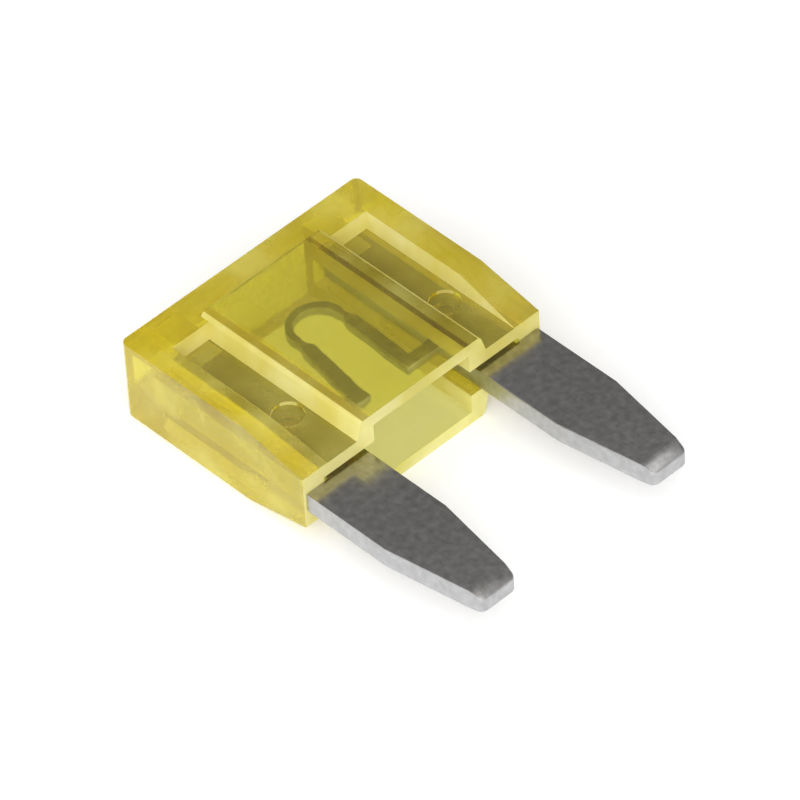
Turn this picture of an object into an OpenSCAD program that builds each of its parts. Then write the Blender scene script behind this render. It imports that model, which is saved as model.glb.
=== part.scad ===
// Small automotive blade fuse: a moulded transparent housing with one stamped metal element.
// X is across the two blades, Y runs from the blade tips to the head, Z is the thickness.
// It lies flat: the origin is under the middle of the fuse, on the face it rests on.

/* [Housing] */
// Width over the two side rims
body_w = 10.9; // [10.6:0.1:11.4]
// Length from the blade end to the head
body_l = 8.7; // [8.5:0.1:9.5]
// Thickness of the head and of the side rims
rim_t = 3.3; // [3.1:0.1:3.5]
// Thickness of the side rims where they meet the blade end
rim_end_t = 2.2; // [2:0.1:2.6]
// Length over which the side rims thin down
rim_slope_l = 2.7; // [1:0.1:4]
// Radius of the upright head corners
corner_r = 0.25; // [0.15:0.05:0.8]
// Radius of the upright corners at the blade end
end_corner_r = 0.15; // [0.1:0.05:0.4]

/* [Boss] */
// Thickness over the raised boss, the fuse's greatest
boss_t = 3.6; // [3.5:0.1:4]
// Width of the boss along its top edges
boss_w = 5.5; // [5.2:0.1:5.6]
// Length of the boss from the blade end
boss_l = 7.6; // [6:0.1:8]
// Thickness of the boss's side walls round the cavity
boss_wall = 0.55; // [0.4:0.05:0.8]
// Thickness of the boss's two face plates
face_wall = 0.5; // [0.4:0.05:0.7]
// Wall left between the cavity and the head face
head_wall = 0.8; // [0.6:0.1:1.2]

/* [Pockets] */
// Length of a pocket from the blade end
pocket_l = 7.05; // [6:0.05:7.4]
// Distance from the fuse's middle line to the outer foot of a pocket
pocket_x = 4.3; // [4:0.1:4.5]
// How far a pocket wall leans back over its own height
draft = 0.22; // [0:0.02:0.3]
// Height of a pocket's floor above the middle plane
floor_z = 1.08; // [0.9:0.02:1.2]

/* [Blade slots] */
// Height of the slot that takes a blade
slot_h = 1.1; // [0.9:0.05:1.2]
// Outer edge of a slot, from the fuse's middle line
slot_x = 4.5; // [4.4:0.05:4.8]
// Depth of a slot from the blade end
slot_l = 7.5; // [7.3:0.1:7.8]
// Width of the test-probe opening in the head
probe_w = 1.1; // [0.8:0.1:1.4]
// Height of the test-probe opening in the head
probe_h = 1.3; // [1:0.1:1.8]

/* [Stakes] */
// Distance of the stakes from the blade end
stake_y = 2.6; // [2:0.1:4]
// Distance of the stakes from the fuse's middle line
stake_x = 3.62; // [3.58:0.02:3.66]
// Radius of the dimple that the staking punch leaves
dimple_r = 0.58; // [0.5:0.02:0.6]
// Depth of the dimple
dimple_d = 0.15; // [0.1:0.05:0.3]
// Radius of the nub pressed into the blade's hole
nub_r = 0.42; // [0.3:0.02:0.45]
// How far each nub reaches into the hole
nub_d = 0.35; // [0.2:0.05:0.38]

/* [Element] */
// Full length of the fuse over the blade tips
total_l = 16.3; // [16:0.1:17]
// Width of a blade outside the housing
blade_w = 2.8; // [2.6:0.1:3]
// Thickness of the blades
blade_t = 0.8; // [0.7:0.05:0.85]
// Distance between the blades' middle lines
blade_pitch = 7.9; // [7.7:0.1:8]
// Width of a blade's shank inside the housing
shank_w = 1.8; // [1.5:0.1:1.85]
// Length of a shank inside the housing
shank_l = 7.4; // [6.5:0.1:7.4]
// Width of a blade at its tip
tip_w = 1.55; // [1.2:0.05:2]
// Length over which a blade narrows to its tip
taper_l = 3.9; // [2:0.1:5]
// Length of the bevel across the tip
bevel_l = 0.6; // [0.4:0.1:1]
// How far the bevel drops on the upper face at the tip
bevel_top = 0.2; // [0.1:0.02:0.3]
// How far the bevel rises on the lower face at the tip
bevel_bottom = 0.06; // [0.02:0.02:0.3]
// Chamfer of the tip's corners
tip_chamfer = 0.22; // [0.1:0.02:0.4]
// Radius of the hole that the nubs fill
hole_r = 0.48; // [0.46:0.02:0.6]

/* [Link] */
// Thickness of the link, skived thin so that it melts first
link_t = 0.35; // [0.2:0.05:0.5]
// Width of the loop
loop_w = 0.28; // [0.2:0.02:0.4]
// Width of the link's legs
leg_w = 0.56; // [0.4:0.02:0.7]
// Distance of the loop's crown from the blade end
crown_y = 6.4; // [5.5:0.1:7]
// Radius of the loop along its middle
loop_r = 0.98; // [0.8:0.02:1.1]
// Sideways place of the loop's middle
loop_x = 0.42; // [0.2:0.02:0.6]
// Sideways place of the left leg where it turns to its foot
left_leg_x = -0.95; // [-1.3:0.05:-0.6]
// Sideways place of the right leg where it turns to its foot
right_leg_x = 1.28; // [1:0.02:1.6]
// Distance from the blade end to the middle of the link's feet
foot_y = 2; // [1:0.1:2.5]

/* [Hidden] */
$fn = 48;

mid_z = boss_t / 2;
blade_out = total_l - body_l;
end_y = blade_out - total_l / 2;
blade_x = blade_pitch / 2;
shank_in_x = blade_x - blade_w / 2;
cavity_x = boss_w / 2 - boss_wall;
cavity_h = boss_t - 2 * face_wall;
over = 1;
probe_x = shank_in_x + shank_w / 2;
loop_end_y = crown_y - loop_r;
neck_l = 0.3;
widen_l = 0.3;
loop_lap = 0.05;
foot_lap = 0.1;

// Runs its children along Y from the blade end toward the head; their plane is X-Z
module run_back(from, to) {
    translate([0, to, 0]) rotate([90, 0, 0]) linear_extrude(to - from) children();
}

// Runs its children across X, centred; their plane is Y-Z
module run_across(width) {
    rotate([90, 0, 90]) linear_extrude(width, center = true) children();
}

// Repeats its children on both faces and on both sides of the middle line
module all_four() {
    for (side = [0, 1], face = [0, 1])
        mirror([side, 0, 0]) mirror([0, 0, face]) children();
}

// Block seen from above, with its four upright corners rounded
module plan() {
    far = body_l - corner_r;
    translate([-body_w / 2, end_corner_r]) square([body_w, far - end_corner_r]);
    translate([-body_w / 2 + corner_r, far - over]) square([body_w - 2 * corner_r, corner_r + over]);
    translate([-body_w / 2 + end_corner_r, 0]) square([body_w - 2 * end_corner_r, over]);
    for (side = [-1, 1]) {
        translate([side * (body_w / 2 - corner_r), far]) circle(corner_r);
        translate([side * (body_w / 2 - end_corner_r), end_corner_r]) circle(end_corner_r);
    }
}

// Side view of the rims: full thickness at the head, thinner at the blade end
module rim_profile() {
    polygon([
        [0, -rim_end_t / 2], [rim_slope_l, -rim_t / 2], [body_l, -rim_t / 2],
        [body_l, rim_t / 2], [rim_slope_l, rim_t / 2], [0, rim_end_t / 2]
    ]);
}

// The boss is a shallow trapezium either side of the middle plane
module boss() {
    foot = boss_w / 2 + draft;
    run_back(0, boss_l)
        polygon([
            [-boss_w / 2, -boss_t / 2], [boss_w / 2, -boss_t / 2], [foot, -floor_z], [foot, floor_z],
            [boss_w / 2, boss_t / 2], [-boss_w / 2, boss_t / 2], [-foot, floor_z], [-foot, -floor_z]
        ]);
}

// One pocket: an open-ended trough with leaning side and head walls
module pocket() {
    inner = boss_w / 2 + draft;
    top = boss_t / 2;
    slope = draft / (rim_t / 2 - floor_z);
    lean = slope * (top - floor_z);
    intersection() {
        run_back(-over, body_l)
            polygon([[inner, floor_z], [pocket_x, floor_z], [pocket_x + lean, top], [boss_w / 2, top]]);
        run_across(body_w)
            polygon([[-over, floor_z], [pocket_l, floor_z], [pocket_l + lean, top], [-over, top]]);
    }
}

// The cavity round the link and the two blade slots, all open at the blade end
module inner_space() {
    run_back(-over, body_l - head_wall) square([2 * cavity_x, cavity_h], center = true);
    run_back(-over, slot_l) square([2 * slot_x, slot_h], center = true);
    for (side = [-1, 1])
        translate([side * probe_x, 0]) run_back(slot_l - over, body_l + over)
            square([probe_w, probe_h], center = true);
}

module housing() {
    color([0.85, 0.76, 0.2, 0.6])
        translate([0, end_y, mid_z]) {
            difference() {
                union() {
                    intersection() {
                        linear_extrude(rim_t, center = true) plan();
                        run_across(body_w) rim_profile();
                    }
                    boss();
                }
                all_four() pocket();
                inner_space();
                all_four() translate([stake_x, stake_y, floor_z - dimple_d])
                    cylinder(h = boss_t, r = dimple_r);
            }
            all_four() translate([stake_x, stake_y, blade_t / 2 - nub_d])
                cylinder(h = floor_z - dimple_d - blade_t / 2 + nub_d, r = nub_r);
        }
}

// One blade seen from above: wide outside the housing, narrow inside, tapered to the tip
module blade_plan() {
    tip = -blade_out;
    half = blade_w / 2;
    nose = tip_w / 2;
    translate([blade_x, 0])
        polygon([
            [-nose + tip_chamfer, tip], [nose - tip_chamfer, tip], [nose, tip + tip_chamfer],
            [half, tip + taper_l], [half, 0], [shank_w - half, 0],
            [shank_w - half, shank_l], [-half, shank_l], [-half, tip + taper_l], [-nose, tip + tip_chamfer]
        ]);
}

// Side view of a blade: flat, with a bevel across the tip
module blade_profile() {
    tip = -blade_out;
    polygon([
        [tip, bevel_bottom - blade_t / 2], [tip + bevel_l, -blade_t / 2], [shank_l, -blade_t / 2],
        [shank_l, blade_t / 2], [tip + bevel_l, blade_t / 2], [tip, blade_t / 2 - bevel_top]
    ]);
}

// The loop seen from above: half a ring, open toward the blades
module loop_plan() {
    outside = loop_r + loop_w / 2;
    translate([loop_x, loop_end_y]) difference() {
        circle(outside);
        circle(loop_r - loop_w / 2);
        translate([-2 * outside, -2 * outside]) square([4 * outside, 2 * outside]);
    }
}

// One leg and its foot seen from above: a neck, a wider slanting leg, then a turn to its blade
module leg_plan(side, foot_x) {
    start = loop_x + side * loop_r;
    neck = side * loop_w / 2;
    leg = side * leg_w / 2;
    neck_end = loop_end_y - neck_l;
    wide = neck_end - widen_l;
    blade_edge = side * (shank_in_x + foot_lap);
    top = foot_y + leg_w / 2;
    bottom = foot_y - leg_w / 2;
    polygon([
        [start - neck, loop_end_y + loop_lap], [start + neck, loop_end_y + loop_lap],
        [start + neck, neck_end], [start + leg, wide], [foot_x + leg, top], [blade_edge, top],
        [blade_edge, bottom], [foot_x - leg, bottom], [start - leg, wide], [start - neck, neck_end]
    ]);
}

module fuse_element() {
    color([0.62, 0.62, 0.6])
        translate([0, end_y, mid_z]) {
            for (side = [0, 1]) mirror([side, 0, 0])
                difference() {
                    intersection() {
                        linear_extrude(blade_t, center = true) blade_plan();
                        run_across(2 * body_w) blade_profile();
                    }
                    translate([stake_x, stake_y, 0])
                        cylinder(h = 2 * blade_t, r = hole_r, center = true);
                }
            linear_extrude(link_t, center = true) {
                loop_plan();
                leg_plan(-1, left_leg_x);
                leg_plan(1, right_leg_x);
            }
        }
}

housing();
fuse_element();
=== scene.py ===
"""The looks of a small automotive blade fuse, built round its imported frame. Metres, Z up."""

import math

import bpy
from mathutils import Matrix, Vector


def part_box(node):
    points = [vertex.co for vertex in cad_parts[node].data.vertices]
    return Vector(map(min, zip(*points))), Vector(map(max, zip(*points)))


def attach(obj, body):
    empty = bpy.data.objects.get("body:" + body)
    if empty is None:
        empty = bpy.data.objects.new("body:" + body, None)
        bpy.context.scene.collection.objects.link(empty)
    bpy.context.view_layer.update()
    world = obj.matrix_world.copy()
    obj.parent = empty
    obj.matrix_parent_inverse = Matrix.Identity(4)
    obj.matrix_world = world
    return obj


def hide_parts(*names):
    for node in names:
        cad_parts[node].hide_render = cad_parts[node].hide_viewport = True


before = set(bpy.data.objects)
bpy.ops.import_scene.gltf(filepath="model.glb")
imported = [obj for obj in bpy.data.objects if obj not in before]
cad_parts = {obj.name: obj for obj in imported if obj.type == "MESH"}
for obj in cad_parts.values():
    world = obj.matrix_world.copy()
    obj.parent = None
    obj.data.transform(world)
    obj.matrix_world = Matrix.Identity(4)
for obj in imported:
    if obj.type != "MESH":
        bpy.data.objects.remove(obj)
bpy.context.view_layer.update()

# ---------------------------------------------------------------------------------------
# Housing: one injection moulding in transparent yellow polycarbonate. The mould leaves a
# raised boss, drafted pockets over the blades, softly rounded edges and a cavity inside;
# four stakes are punched into the pocket floors afterwards and grip the blades.

MM = 0.001

housing_low, housing_high = (Vector(corner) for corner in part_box("housing"))
half_width = housing_high.x
end_y = housing_low.y
head_y = housing_high.y
middle_z = (housing_low.z + housing_high.z) / 2
boss_half = (housing_high.z - housing_low.z) / 2

rim_half = 1.65 * MM
rim_end_half = 1.1 * MM
rim_slope_y = end_y + 2.7 * MM
head_corner = 0.25 * MM

boss_half_width = 2.75 * MM
boss_far_y = end_y + 7.6 * MM
wall_lean = 0.22 * MM
boss_round = 0.16 * MM

pocket_floor = 1.08 * MM
pocket_outer_x = 4.3 * MM
pocket_far_y = end_y + 7.05 * MM

cavity_half = Vector((2.2, 0, 1.3)) * MM
cavity_far_y = head_y - 0.8 * MM
slot_half = Vector((4.5, 0, 0.55)) * MM
slot_far_y = end_y + 7.5 * MM
probe_x = 3.45 * MM
probe_half = Vector((0.55, 0, 0.65)) * MM

stake_at = Vector((3.62 * MM, end_y + 2.6 * MM, 0))
dimple_radius = 0.58 * MM
dimple_floor = pocket_floor - 0.15 * MM
nub_radius = 0.42 * MM
nub_foot = 0.05 * MM

outer_round = 0.07 * MM
wall_strip_x = cavity_half.x + 0.04 * MM

# How far a tool runs past the piece, and how near a place has to be to count as the same.
past = 1 * MM
near = 0.1 * MM
close = 0.02 * MM
shortest_long_edge = 1 * MM
middle_band = 1 * MM
corner_angle = math.radians(25)
smooth_angle = math.radians(30)


def block(name, low, high):
    """A box between two corners."""
    low, high = Vector(low), Vector(high)
    bpy.ops.object.select_all(action="DESELECT")
    bpy.ops.mesh.primitive_cube_add(size=1, location=(low + high) / 2, scale=high - low)
    piece = bpy.context.object
    piece.name = name
    bpy.ops.object.transform_apply(location=True, rotation=True, scale=True)
    return piece


def rod(name, centre, radius, low_z, high_z, sides=48):
    """An upright round bar."""
    bpy.ops.object.select_all(action="DESELECT")
    bpy.ops.mesh.primitive_cylinder_add(
        vertices=sides, radius=radius, depth=high_z - low_z,
        location=(centre.x, centre.y, (low_z + high_z) / 2),
    )
    piece = bpy.context.object
    piece.name = name
    bpy.ops.object.transform_apply(location=True, rotation=True, scale=True)
    return piece


def pick(piece, kind, test):
    """Opens a piece in edit mode with only the parts that pass the test selected."""
    bpy.ops.object.select_all(action="DESELECT")
    piece.select_set(True)
    bpy.context.view_layer.objects.active = piece
    bpy.ops.object.mode_set(mode="EDIT")
    bpy.ops.mesh.select_mode(type=kind)
    bpy.ops.mesh.select_all(action="DESELECT")
    bpy.ops.object.mode_set(mode="OBJECT")
    mesh = piece.data
    for item in {"VERT": mesh.vertices, "EDGE": mesh.edges, "FACE": mesh.polygons}[kind]:
        item.select = test(item)
    bpy.ops.object.mode_set(mode="EDIT")


def done():
    bpy.ops.object.mode_set(mode="OBJECT")


def score(piece, at, along):
    """Cuts an edge loop all round a piece, where a plane crosses it."""
    pick(piece, "FACE", lambda face: True)
    bpy.ops.mesh.bisect(plane_co=at, plane_no=along)
    done()


def stretch(piece, test, factors, centre):
    """Scales the vertices that pass the test about a centre."""
    pick(piece, "VERT", lambda vertex: test(vertex.co))
    bpy.ops.transform.resize(value=factors, center_override=centre)
    done()


def use(piece, kind, **settings):
    """Adds one modifier to a piece and applies it."""
    bpy.ops.object.select_all(action="DESELECT")
    piece.select_set(True)
    bpy.context.view_layer.objects.active = piece
    modifier = piece.modifiers.new(kind.title(), kind)
    for name, value in settings.items():
        setattr(modifier, name, value)
    bpy.ops.object.modifier_apply(modifier=modifier.name)


def combine(piece, tool, operation):
    """Adds a tool's solid to a piece, or takes it away, and removes the tool."""
    use(piece, "BOOLEAN", operation=operation, object=tool, solver="EXACT")
    bpy.data.objects.remove(tool)


def everywhere(tool, in_x, in_z):
    """Repeats a tool across the middle line, across the middle plane, or both."""
    use(tool, "MIRROR", use_axis=(in_x, False, in_z), use_clip=False, use_mirror_merge=False)


housing = block(
    "moulded_housing", (-half_width, end_y, -rim_half), (half_width, head_y, rim_half)
)
score(housing, (0, rim_slope_y, 0), (0, 1, 0))
stretch(
    housing, lambda co: co.y < end_y + near, (1, 1, rim_end_half / rim_half), (0, end_y, 0)
)


def is_head_corner(edge):
    a, b = (housing.data.vertices[i].co for i in edge.vertices)
    return abs(a.z - b.z) > rim_half and min(a.y, b.y) > head_y - near


pick(housing, "EDGE", is_head_corner)
bpy.ops.mesh.bevel(offset=head_corner, segments=8, affect="EDGES")
done()

boss = block(
    "boss",
    (-boss_half_width - wall_lean, end_y, -boss_half),
    (boss_half_width + wall_lean, boss_far_y, boss_half),
)
for face in (-1, 1):
    score(boss, (0, 0, face * pocket_floor), (0, 0, 1))
stretch(
    boss,
    lambda co: abs(co.z) > pocket_floor + near,
    (boss_half_width / (boss_half_width + wall_lean), 1, 1),
    (0, 0, 0),
)


def is_boss_edge(edge):
    a, b = (boss.data.vertices[i].co for i in edge.vertices)
    return abs(a.y - b.y) > shortest_long_edge and abs(a.z + b.z) > 2 * boss_half - near


pick(boss, "EDGE", is_boss_edge)
bpy.ops.mesh.bevel(offset=boss_round, segments=4, affect="EDGES")
done()
combine(housing, boss, "UNION")

pocket = block(
    "pocket",
    (boss_half_width + wall_lean, end_y - past, pocket_floor),
    (pocket_outer_x, pocket_far_y, boss_half),
)
pocket_middle = Vector(((boss_half_width + wall_lean + pocket_outer_x) / 2, end_y - past, 0))
pocket_floor_width = pocket_outer_x - boss_half_width - wall_lean
pocket_length = pocket_far_y - end_y + past
stretch(
    pocket,
    lambda co: co.z > pocket_floor + near,
    (1 + 2 * wall_lean / pocket_floor_width, 1 + wall_lean / pocket_length, 1),
    pocket_middle,
)
everywhere(pocket, True, True)
combine(housing, pocket, "DIFFERENCE")

dimple = rod("dimple", stake_at, dimple_radius, dimple_floor, boss_half)
everywhere(dimple, True, True)
combine(housing, dimple, "DIFFERENCE")

cavity = block(
    "cavity",
    (-cavity_half.x, end_y - past, -cavity_half.z),
    (cavity_half.x, cavity_far_y, cavity_half.z),
)
combine(housing, cavity, "DIFFERENCE")
slot = block(
    "slot", (-slot_half.x, end_y - past, -slot_half.z), (slot_half.x, slot_far_y, slot_half.z)
)
combine(housing, slot, "DIFFERENCE")
probe = block(
    "probe",
    (probe_x - probe_half.x, slot_far_y - past, -probe_half.z),
    (probe_x + probe_half.x, head_y + past, probe_half.z),
)
everywhere(probe, True, False)
combine(housing, probe, "DIFFERENCE")

nub = rod("nub", stake_at, nub_radius, nub_foot, slot_half.z + near, sides=32)
everywhere(nub, True, True)
combine(housing, nub, "UNION")

use(
    housing, "BEVEL", width=outer_round, segments=3, limit_method="ANGLE",
    angle_limit=corner_angle, use_clamp_overlap=True, harden_normals=False,
)
# The strips of each plate that lie over the boss walls take their own finish.
for side in (-1, 1):
    score(housing, (side * wall_strip_x, 0, 0), (1, 0, 0))
housing.data.transform(Matrix.Translation((0, 0, middle_z)))
bpy.ops.object.shade_smooth_by_angle(angle=smooth_angle)


def yellow_plastic(name, deep, pale, least_cloud, most_cloud, smooth, rough):
    """Yellow polycarbonate: clear and dyed right through, with a little cloud at its surface."""
    plastic = bpy.data.materials.new(name)
    plastic.use_nodes = True
    tree = plastic.node_tree
    link = tree.links.new
    glass = tree.nodes["Principled BSDF"]
    glass.inputs["Transmission Weight"].default_value = 1
    glass.inputs["IOR"].default_value = 1.585
    place = tree.nodes.new("ShaderNodeTexCoord")
    flow = tree.nodes.new("ShaderNodeTexNoise")
    flow.inputs["Scale"].default_value = 420
    flow.inputs["Detail"].default_value = 3
    # Base colour: partly the plastic's own faint grey, partly painted shade. It dims everything
    # seen through the housing in place of the shadow the fuse casts on the floor under itself.
    tint_and_painted_shade = tree.nodes.new("ShaderNodeValToRGB")
    tint_and_painted_shade.color_ramp.elements[0].color = (0.93, 0.91, 0.8, 1)
    tint_and_painted_shade.color_ramp.elements[1].color = (0.97, 0.96, 0.9, 1)
    haze = tree.nodes.new("ShaderNodeMapRange")
    haze.inputs["To Min"].default_value = smooth
    haze.inputs["To Max"].default_value = rough
    ripple = tree.nodes.new("ShaderNodeBump")
    ripple.inputs["Strength"].default_value = 0.32
    ripple.inputs["Distance"].default_value = 0.08 * MM
    link(place.outputs["Object"], flow.inputs["Vector"])
    link(flow.outputs["Fac"], tint_and_painted_shade.inputs["Fac"])
    link(tint_and_painted_shade.outputs["Color"], glass.inputs["Base Color"])
    link(flow.outputs["Fac"], haze.inputs["Value"])
    link(haze.outputs["Result"], glass.inputs["Roughness"])
    link(flow.outputs["Fac"], ripple.inputs["Height"])
    link(ripple.outputs["Normal"], glass.inputs["Normal"])

    lit_from_outside = tree.nodes.new("ShaderNodeBsdfDiffuse")
    lit_from_inside = tree.nodes.new("ShaderNodeBsdfTranslucent")
    milk = tree.nodes.new("ShaderNodeValToRGB")
    milk.color_ramp.elements[0].position = 0.38
    milk.color_ramp.elements[0].color = (*deep, 1)
    milk.color_ramp.elements[1].position = 0.62
    milk.color_ramp.elements[1].color = (*pale, 1)
    cloud = tree.nodes.new("ShaderNodeMixShader")
    cloud.inputs["Fac"].default_value = 0.3
    share = tree.nodes.new("ShaderNodeMapRange")
    share.inputs["From Min"].default_value = 0.3
    share.inputs["From Max"].default_value = 0.7
    share.inputs["To Min"].default_value = least_cloud
    share.inputs["To Max"].default_value = most_cloud
    cloudy = tree.nodes.new("ShaderNodeMixShader")
    link(flow.outputs["Fac"], milk.inputs["Fac"])
    link(milk.outputs["Color"], lit_from_outside.inputs["Color"])
    link(milk.outputs["Color"], lit_from_inside.inputs["Color"])
    link(lit_from_outside.outputs["BSDF"], cloud.inputs[1])
    link(lit_from_inside.outputs["BSDF"], cloud.inputs[2])
    link(flow.outputs["Fac"], share.inputs["Value"])
    link(share.outputs["Result"], cloudy.inputs["Fac"])
    link(glass.outputs["BSDF"], cloudy.inputs[1])
    link(cloud.outputs["Shader"], cloudy.inputs[2])
    out = tree.nodes["Material Output"]
    link(cloudy.outputs["Shader"], out.inputs["Surface"])

    dye = tree.nodes.new("ShaderNodeVolumeAbsorption")
    dye.inputs["Color"].default_value = (0.998, 0.982, 0.02, 1)
    dye.inputs["Density"].default_value = 1700
    link(dye.outputs["Volume"], out.inputs["Volume"])
    return plastic


housing.data.materials.clear()
for name, deep, pale, least_cloud, most_cloud, smooth, rough in (
    ("satin_yellow", (0.93, 0.78, 0.08), (0.98, 0.9, 0.24), 0.2, 0.42, 0.06, 0.18),
    ("polished_yellow", (0.9, 0.79, 0.12), (0.93, 0.84, 0.18), 0.06, 0.14, 0.03, 0.1),
    ("hazy_yellow", (0.92, 0.82, 0.14), (0.95, 0.87, 0.22), 0.22, 0.36, 0.03, 0.1),
    ("frosted_yellow", (0.98, 0.89, 0.24), (1, 0.95, 0.42), 0.7, 0.88, 0.2, 0.3),
):
    housing.data.materials.append(
        yellow_plastic(name, deep, pale, least_cloud, most_cloud, smooth, rough)
    )


def is_polished(face):
    """The plates over the link, inside and out."""
    over_link = abs(face.center.x) < middle_band and face.center.y < boss_far_y
    rim_top = abs(abs(face.center.z - middle_z) - rim_half) < close
    return over_link and not rim_top


def is_pocket_floor(face):
    """The floors of the four pockets and of the punched dimples in them."""
    height = abs(face.center.z - middle_z)
    return (
        abs(face.normal.z) > 0.97
        and dimple_floor - close < height < pocket_floor + close
    )


def is_frosted(face):
    """The walls of pockets, boss and cavity, the blade end, the probe openings, rounded edges."""
    leans = max(abs(part) for part in face.normal) < 0.97
    at_end = face.normal.y < -0.9 and face.center.y < end_y + near / 2
    boss_wall = abs(face.normal.x) > 0.9 and abs(face.center.x) < boss_half_width + wall_lean
    probe_wall = slot_far_y < face.center.y < head_y - near / 2 and (
        abs(abs(face.center.x) - probe_x) < probe_half.x + near / 2
        and abs(face.center.z - middle_z) < probe_half.z + near / 2
    )
    return leans or at_end or boss_wall or probe_wall


for slot_index, test in enumerate((is_polished, is_pocket_floor, is_frosted), start=1):
    pick(housing, "FACE", test)
    housing.active_material_index = slot_index
    bpy.ops.object.material_slot_assign()
    done()

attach(housing, "root")
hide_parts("housing")

# ---------------------------------------------------------------------------------------
# Fuse element: one stamping in zinc alloy strip. The blades keep the strip's dull rolled
# faces and have bright sheared edges, the tips are coined to lead in, and the hairpin link
# between the shanks is skived thinner so that it melts first.

element_low, element_high = (Vector(corner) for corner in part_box("fuse_element"))
blade_outer_x = element_high.x
tip_y = element_low.y
shank_far_y = element_high.y
blade_half = (element_high.z - element_low.z) / 2

blade_width = 2.8 * MM
blade_x = blade_outer_x - blade_width / 2
crown_y = end_y + 6.4 * MM
taper_y = tip_y + 3.9 * MM
tip_width = 1.55 * MM
tip_bevel_y = tip_y + 0.6 * MM
tip_drop = 0.2 * MM
tip_rise = 0.06 * MM
tip_corner = 0.22 * MM
shank_width = 1.8 * MM
shank_inner_x = blade_outer_x - blade_width
hole_radius = 0.48 * MM
edge_round = 0.05 * MM

link_half = 0.175 * MM
loop_width = 0.28 * MM
loop_radius = 0.98 * MM
loop_centre = Vector((0.42 * MM, crown_y - loop_radius, 0))
neck_length = 0.3 * MM
leg_width = 0.56 * MM
leg_widens = 0.3 * MM
link_round = 0.06 * MM
left_leg_x = -0.95 * MM
right_leg_x = 1.28 * MM
foot_y = end_y + 2 * MM
lap = 0.05 * MM

blade = block(
    "blade",
    (blade_x - blade_width / 2, tip_y, -blade_half),
    (blade_x + blade_width / 2, end_y, blade_half),
)
score(blade, (0, taper_y, 0), (0, 1, 0))
score(blade, (0, tip_bevel_y, 0), (0, 1, 0))
at_bevel_width = tip_width + (blade_width - tip_width) * (tip_bevel_y - tip_y) / (taper_y - tip_y)
stretch(
    blade, lambda co: co.y < tip_bevel_y + near,
    (at_bevel_width / blade_width, 1, 1), (blade_x, 0, 0),
)
stretch(
    blade, lambda co: co.y < tip_y + near, (tip_width / at_bevel_width, 1, 1), (blade_x, 0, 0)
)
for face, move in ((1, -tip_drop), (-1, tip_rise)):
    pick(
        blade, "VERT",
        lambda vertex: vertex.co.y < tip_y + near and vertex.co.z * face > 0,
    )
    bpy.ops.transform.translate(value=(0, 0, move))
    done()


def is_tip_corner(edge):
    a, b = (blade.data.vertices[i].co for i in edge.vertices)
    return abs(a.z - b.z) > blade_half / 2 and max(a.y, b.y) < tip_y + near


pick(blade, "EDGE", is_tip_corner)
bpy.ops.mesh.bevel(offset=tip_corner, segments=3, affect="EDGES")
done()
shank = block(
    "shank",
    (shank_inner_x, end_y - past, -blade_half),
    (shank_inner_x + shank_width, shank_far_y, blade_half),
)
combine(blade, shank, "UNION")
hole = rod("hole", stake_at, hole_radius, -past, past)
combine(blade, hole, "DIFFERENCE")
use(
    blade, "BEVEL", width=edge_round, segments=2, limit_method="ANGLE",
    angle_limit=corner_angle, use_clamp_overlap=True,
)
everywhere(blade, True, False)

loop = block(
    "loop",
    (loop_centre.x + loop_radius - loop_width / 2, loop_centre.y - lap, -link_half),
    (loop_centre.x + loop_radius + loop_width / 2, loop_centre.y, link_half),
)
pick(loop, "FACE", lambda face: face.normal.y > 0.9)
bpy.ops.mesh.spin(steps=28, angle=math.pi, center=loop_centre, axis=(0, 0, -1))
bpy.ops.mesh.extrude_region_move(TRANSFORM_OT_translate={"value": (0, -lap, 0)})
done()


def leg(side, foot_x):
    """One leg from its end of the loop: a neck, a slanting wide leg, a turn out to its shank."""
    top_x = loop_centre.x + side * loop_radius
    foot_top = foot_y + leg_width / 2
    piece = block(
        "leg",
        (top_x - loop_width / 2, foot_y - leg_width / 2, -link_half),
        (top_x + loop_width / 2, loop_centre.y + lap, link_half),
    )
    neck_end = loop_centre.y - neck_length
    wide_y = neck_end - leg_widens
    for y in (neck_end, wide_y, foot_top):
        score(piece, (0, y, 0), (0, 1, 0))
    stretch(piece, lambda co: co.y < wide_y + lap, (leg_width / loop_width, 1, 1), (top_x, 0, 0))
    pick(piece, "VERT", lambda vertex: vertex.co.y < foot_top + lap)
    bpy.ops.transform.translate(value=(foot_x - top_x, 0, 0))
    done()
    pick(
        piece, "FACE",
        lambda face: face.normal.x * side > 0.9 and face.center.y < foot_top - lap,
    )
    reach = side * (shank_inner_x + 2 * lap) - foot_x - side * leg_width / 2
    bpy.ops.mesh.extrude_region_move(TRANSFORM_OT_translate={"value": (reach, 0, 0)})
    done()
    use(
        piece, "BEVEL", width=link_round, segments=3, limit_method="ANGLE",
        angle_limit=corner_angle, use_clamp_overlap=True,
    )
    return piece


element = blade
element.name = "stamped_element"
for part in (leg(-1, left_leg_x), leg(1, right_leg_x), loop):
    combine(element, part, "UNION")
element.data.transform(Matrix.Translation((0, 0, middle_z)))
bpy.ops.object.shade_smooth_by_angle(angle=smooth_angle)
use(element, "WEIGHTED_NORMAL", keep_sharp=True)


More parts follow.
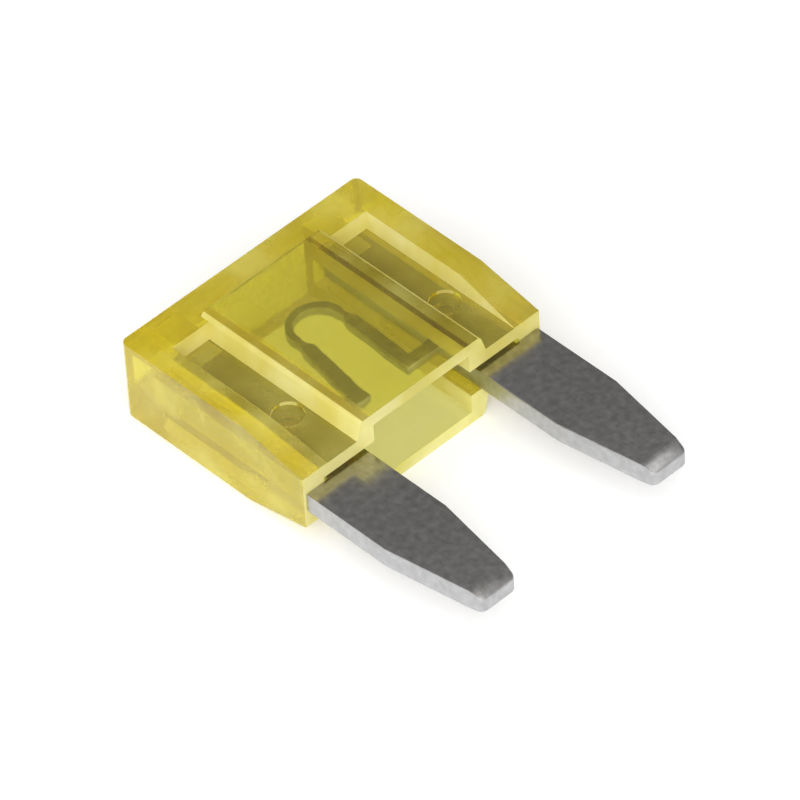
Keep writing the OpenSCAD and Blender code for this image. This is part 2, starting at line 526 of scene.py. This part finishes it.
def rolled_zinc(name, dark, light, smooth, rough, grain):
    """Zinc alloy: two greys mottled together, with a fine grain in the surface."""
    metal = bpy.data.materials.new(name)
    metal.use_nodes = True
    tree = metal.node_tree
    shader = tree.nodes["Principled BSDF"]
    shader.inputs["Metallic"].default_value = 1
    place = tree.nodes.new("ShaderNodeTexCoord")
    drawn = tree.nodes.new("ShaderNodeMapping")
    drawn.inputs["Scale"].default_value = grain
    streaks = tree.nodes.new("ShaderNodeTexNoise")
    streaks.inputs["Scale"].default_value = 1
    streaks.inputs["Detail"].default_value = 4
    mottle = tree.nodes.new("ShaderNodeTexNoise")
    mottle.inputs["Scale"].default_value = 3600
    mottle.inputs["Detail"].default_value = 6
    greys = tree.nodes.new("ShaderNodeValToRGB")
    greys.color_ramp.elements[0].position = 0.3
    greys.color_ramp.elements[0].color = (*dark, 1)
    greys.color_ramp.elements[1].position = 0.7
    greys.color_ramp.elements[1].color = (*light, 1)
    gloss = tree.nodes.new("ShaderNodeMapRange")
    gloss.inputs["To Min"].default_value = smooth
    gloss.inputs["To Max"].default_value = rough
    relief = tree.nodes.new("ShaderNodeBump")
    relief.inputs["Strength"].default_value = 0.2
    relief.inputs["Distance"].default_value = 0.02 * MM
    link = tree.links.new
    link(place.outputs["Object"], drawn.inputs["Vector"])
    link(drawn.outputs["Vector"], streaks.inputs["Vector"])
    link(place.outputs["Object"], mottle.inputs["Vector"])
    link(mottle.outputs["Fac"], greys.inputs["Fac"])
    link(greys.outputs["Color"], shader.inputs["Base Color"])
    link(streaks.outputs["Fac"], gloss.inputs["Value"])
    link(gloss.outputs["Result"], shader.inputs["Roughness"])
    link(streaks.outputs["Fac"], relief.inputs["Height"])
    link(relief.outputs["Normal"], shader.inputs["Normal"])
    return metal


element.data.materials.clear()
along_strip = (6000, 400, 6000)
across_cut = (5000, 5000, 700)
for name, dark, light, smooth, rough, grain in (
    ("dull_rolled_zinc", (0.35, 0.335, 0.32), (0.5, 0.49, 0.485), 0.17, 0.27, along_strip),
    ("bright_sheared_zinc", (0.41, 0.41, 0.41), (0.52, 0.52, 0.53), 0.3, 0.45, across_cut),
):
    element.data.materials.append(rolled_zinc(name, dark, light, smooth, rough, grain))
pick(element, "FACE", lambda face: abs(face.normal.z) < 0.9)
element.active_material_index = 1
bpy.ops.object.material_slot_assign()
done()

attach(element, "root")
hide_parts("fuse_element")

# ---------------------------------------------------------------------------------------
# Floor: a plain white sheet that the fuse lies on, wide enough to fill every view. It gives
# off a little light of its own, as a sheet on a light table does, so shadows stay faint.

bpy.ops.object.select_all(action="DESELECT")
bpy.ops.mesh.primitive_plane_add(size=4, location=(0, 0, 0))
floor = bpy.context.object
floor.name = "floor"
paper = bpy.data.materials.new("white_paper")
paper.use_nodes = True
tree = paper.node_tree
sheet = tree.nodes["Principled BSDF"]
sheet.inputs["Roughness"].default_value = 0.9
fibre = tree.nodes.new("ShaderNodeTexNoise")
fibre.inputs["Scale"].default_value = 3000
shade = tree.nodes.new("ShaderNodeValToRGB")
shade.color_ramp.elements[0].color = (0.9, 0.9, 0.9, 1)
shade.color_ramp.elements[1].color = (0.93, 0.93, 0.93, 1)
tree.links.new(fibre.outputs["Fac"], shade.inputs["Fac"])
tree.links.new(shade.outputs["Color"], sheet.inputs["Base Color"])
sheet.inputs["Emission Color"].default_value = (1, 1, 1, 1)
sheet.inputs["Emission Strength"].default_value = 0.22
floor.data.materials.append(paper)

# ---------------------------------------------------------------------------------------
# Light: a soft box on the front left, a wide one overhead, and a pale room all round that is
# brightest toward the front left and dim behind the fuse.

world = bpy.data.worlds.new("pale_room")
world.use_nodes = True
tree = world.node_tree
heading = tree.nodes.new("ShaderNodeTexCoord")
toward_window = tree.nodes.new("ShaderNodeVectorMath")
toward_window.operation = "DOT_PRODUCT"
toward_window.inputs[1].default_value = (-0.7, -0.6, 0.4)
daylight = tree.nodes.new("ShaderNodeMapRange")
daylight.inputs["From Min"].default_value = -0.5
daylight.inputs["From Max"].default_value = 0.9
daylight.inputs["To Min"].default_value = 0.16
daylight.inputs["To Max"].default_value = 1.25
tree.links.new(heading.outputs["Generated"], toward_window.inputs[0])
tree.links.new(toward_window.outputs["Value"], daylight.inputs["Value"])
tree.links.new(daylight.outputs["Result"], tree.nodes["Background"].inputs["Strength"])
tree.nodes["Background"].inputs["Color"].default_value = (1, 1, 1, 1)
bpy.context.scene.world = world


def soft_box(name, azimuth, elevation, distance, size, watts):
    """A square lamp that faces the fuse. Azimuth 0 is in front of the blades."""
    turn, rise = math.radians(azimuth), math.radians(elevation)
    level_reach = math.cos(rise)
    out = Vector((math.sin(turn) * level_reach, -math.cos(turn) * level_reach, math.sin(rise)))
    lamp = bpy.data.lights.new(name, "AREA")
    lamp.size = size
    lamp.energy = watts
    holder = bpy.data.objects.new(name, lamp)
    holder.location = out * distance
    holder.rotation_euler = out.to_track_quat("Z", "Y").to_euler()
    bpy.context.collection.objects.link(holder)


soft_box("left_soft_box", -48, 30, 0.4, 0.3, 0.85)
soft_box("overhead_soft_box", -20, 80, 0.5, 0.5, 0.3)

# ---------------------------------------------------------------------------------------
# Camera: far off behind a very long lens, looking down on the fuse from the front left and
# tipped a little to one side.

view_turn = math.radians(-41.5)
view_rise = math.radians(44.6)
view_roll = math.radians(-3.85)
view_distance = 300 * MM
look_at = Vector((0.05, 0.594, 1.85)) * MM
sensor_width = 36
lens_length = 408

back = Vector((
    math.sin(view_turn) * math.cos(view_rise),
    -math.cos(view_turn) * math.cos(view_rise),
    math.sin(view_rise),
))
level = Vector((math.cos(view_turn), math.sin(view_turn), 0))
upright = back.cross(level)
right = level * math.cos(view_roll) + upright * math.sin(view_roll)
up = upright * math.cos(view_roll) - level * math.sin(view_roll)

camera = bpy.data.objects.new("camera", bpy.data.cameras.new("camera"))
bpy.context.collection.objects.link(camera)
camera.data.sensor_width = sensor_width
camera.data.lens = lens_length
camera.data.clip_start = 0.01
camera.matrix_world = Matrix.Translation(look_at + back * view_distance) @ Matrix(
    (right, up, back)
).transposed().to_4x4()
bpy.context.scene.camera = camera
bpy.context.scene.view_settings.view_transform = "Standard"
bpy.context.scene.cycles.max_bounces = 24
bpy.context.scene.cycles.transmission_bounces = 24
